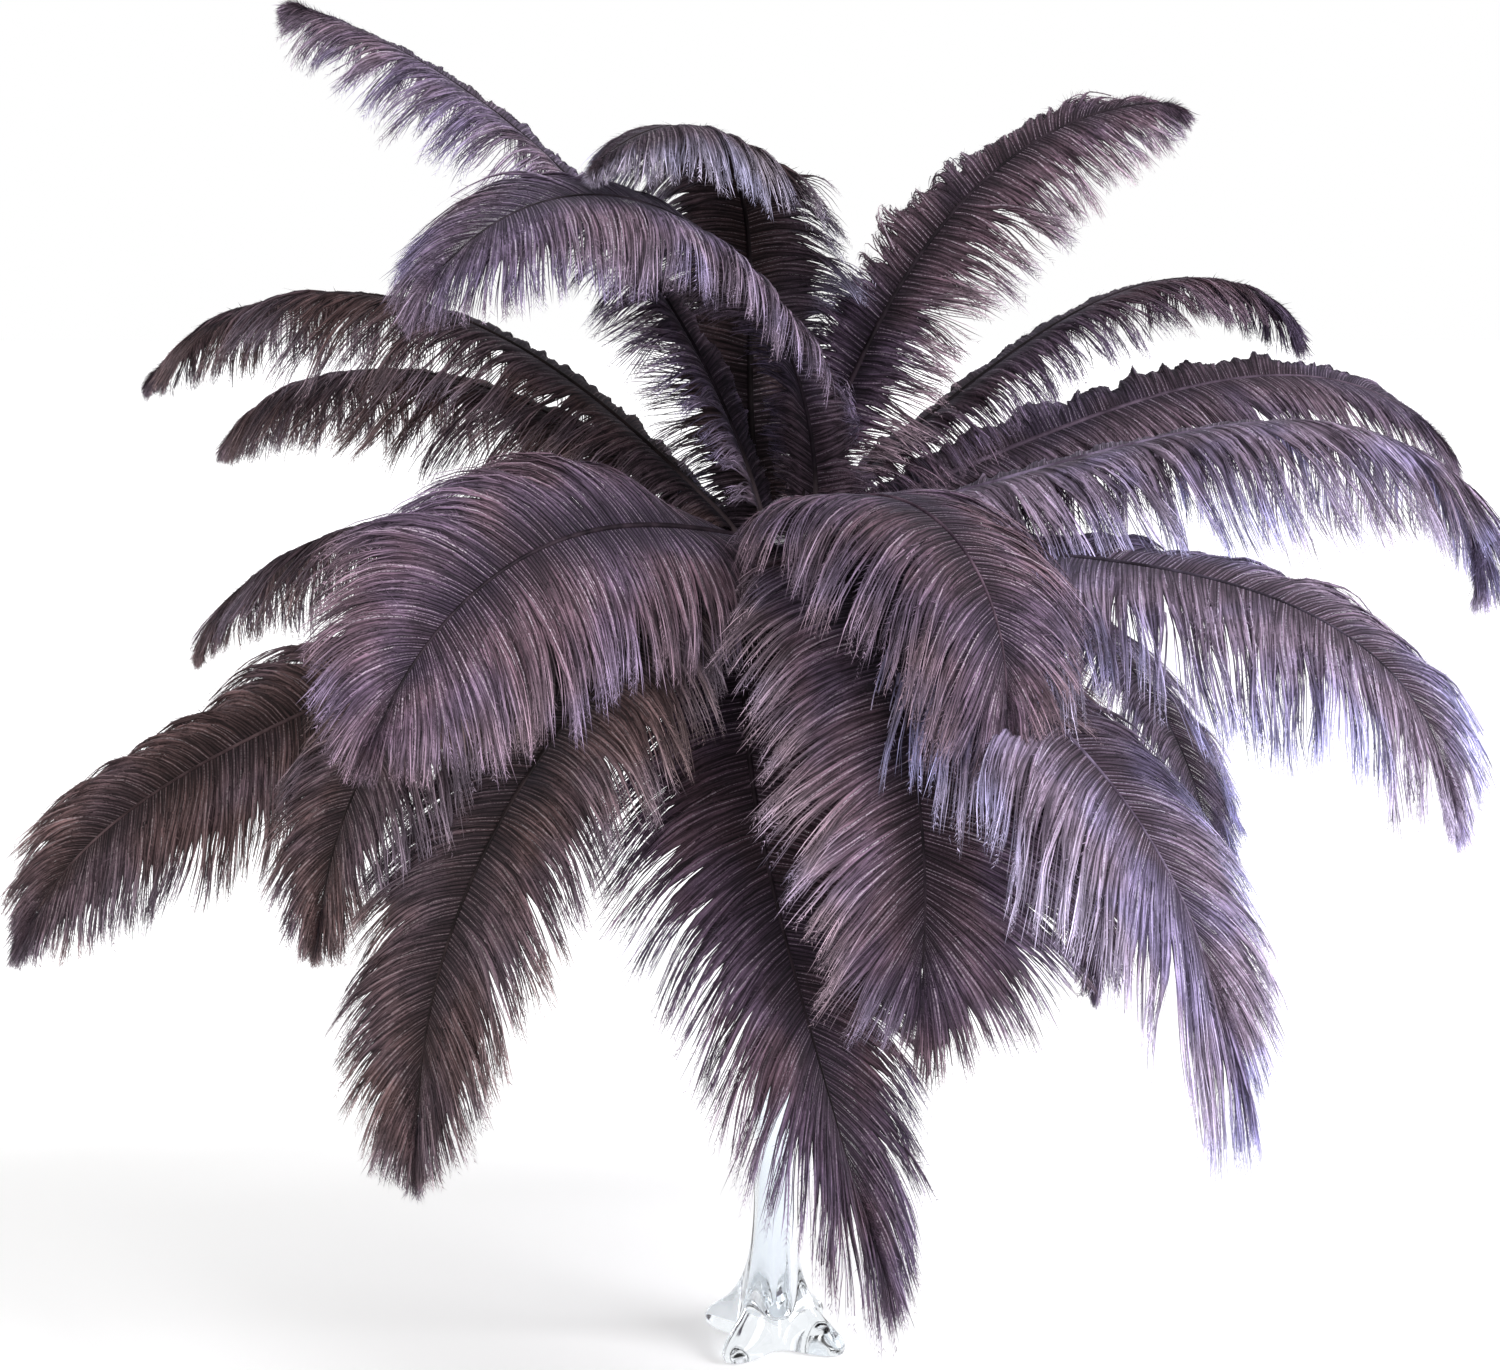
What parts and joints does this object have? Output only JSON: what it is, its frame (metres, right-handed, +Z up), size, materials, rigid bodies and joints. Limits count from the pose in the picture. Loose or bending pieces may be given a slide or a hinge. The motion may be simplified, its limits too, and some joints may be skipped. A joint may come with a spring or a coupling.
{
  "type": "ostrich feather bouquet in a glass vase",
  "caption": "Bouquet of dyed ostrich plumes fanning out of a slim trumpet glass vase with a star-shaped foot, standing free on its flat underside.",
  "frame": {"origin": "centre of the vase's flat underside", "axes": "+Z up along the vase's axis; -Y is the bouquet's front, as in the picture; +X to the viewer's right"},
  "size_m": [0.8847, 0.6213, 0.8163],
  "materials": {
    "clear_glass": "gloss",
    "dyed_plume": "matte"
  },
  "bodies": {
    "root": {"vase": "clear_glass", "feather_tall_left": "dyed_plume", "feather_top_curled": "dyed_plume", "feather_front_arch": "dyed_plume", "feather_tall_right": "dyed_plume", "feather_right_slim": "dyed_plume", "feather_right_high": "dyed_plume", "feather_right_long": "dyed_plume", "feather_right_low": "dyed_plume", "feather_right_back": "dyed_plume", "feather_front_right_short": "dyed_plume", "feather_front_left_broad": "dyed_plume", "feather_front_broad": "dyed_plume", "feather_front_right_hanging": "dyed_plume", "feather_back_right_hanging": "dyed_plume", "feather_front_hanging": "dyed_plume", "feather_front_left_hanging": "dyed_plume", "feather_far_left": "dyed_plume", "feather_left_low": "dyed_plume", "feather_left_level": "dyed_plume", "feather_left_middle": "dyed_plume", "feather_left_high": "dyed_plume", "feather_back_hanging": "dyed_plume", "feather_back_left": "dyed_plume"}
  },
  "joints": []
}
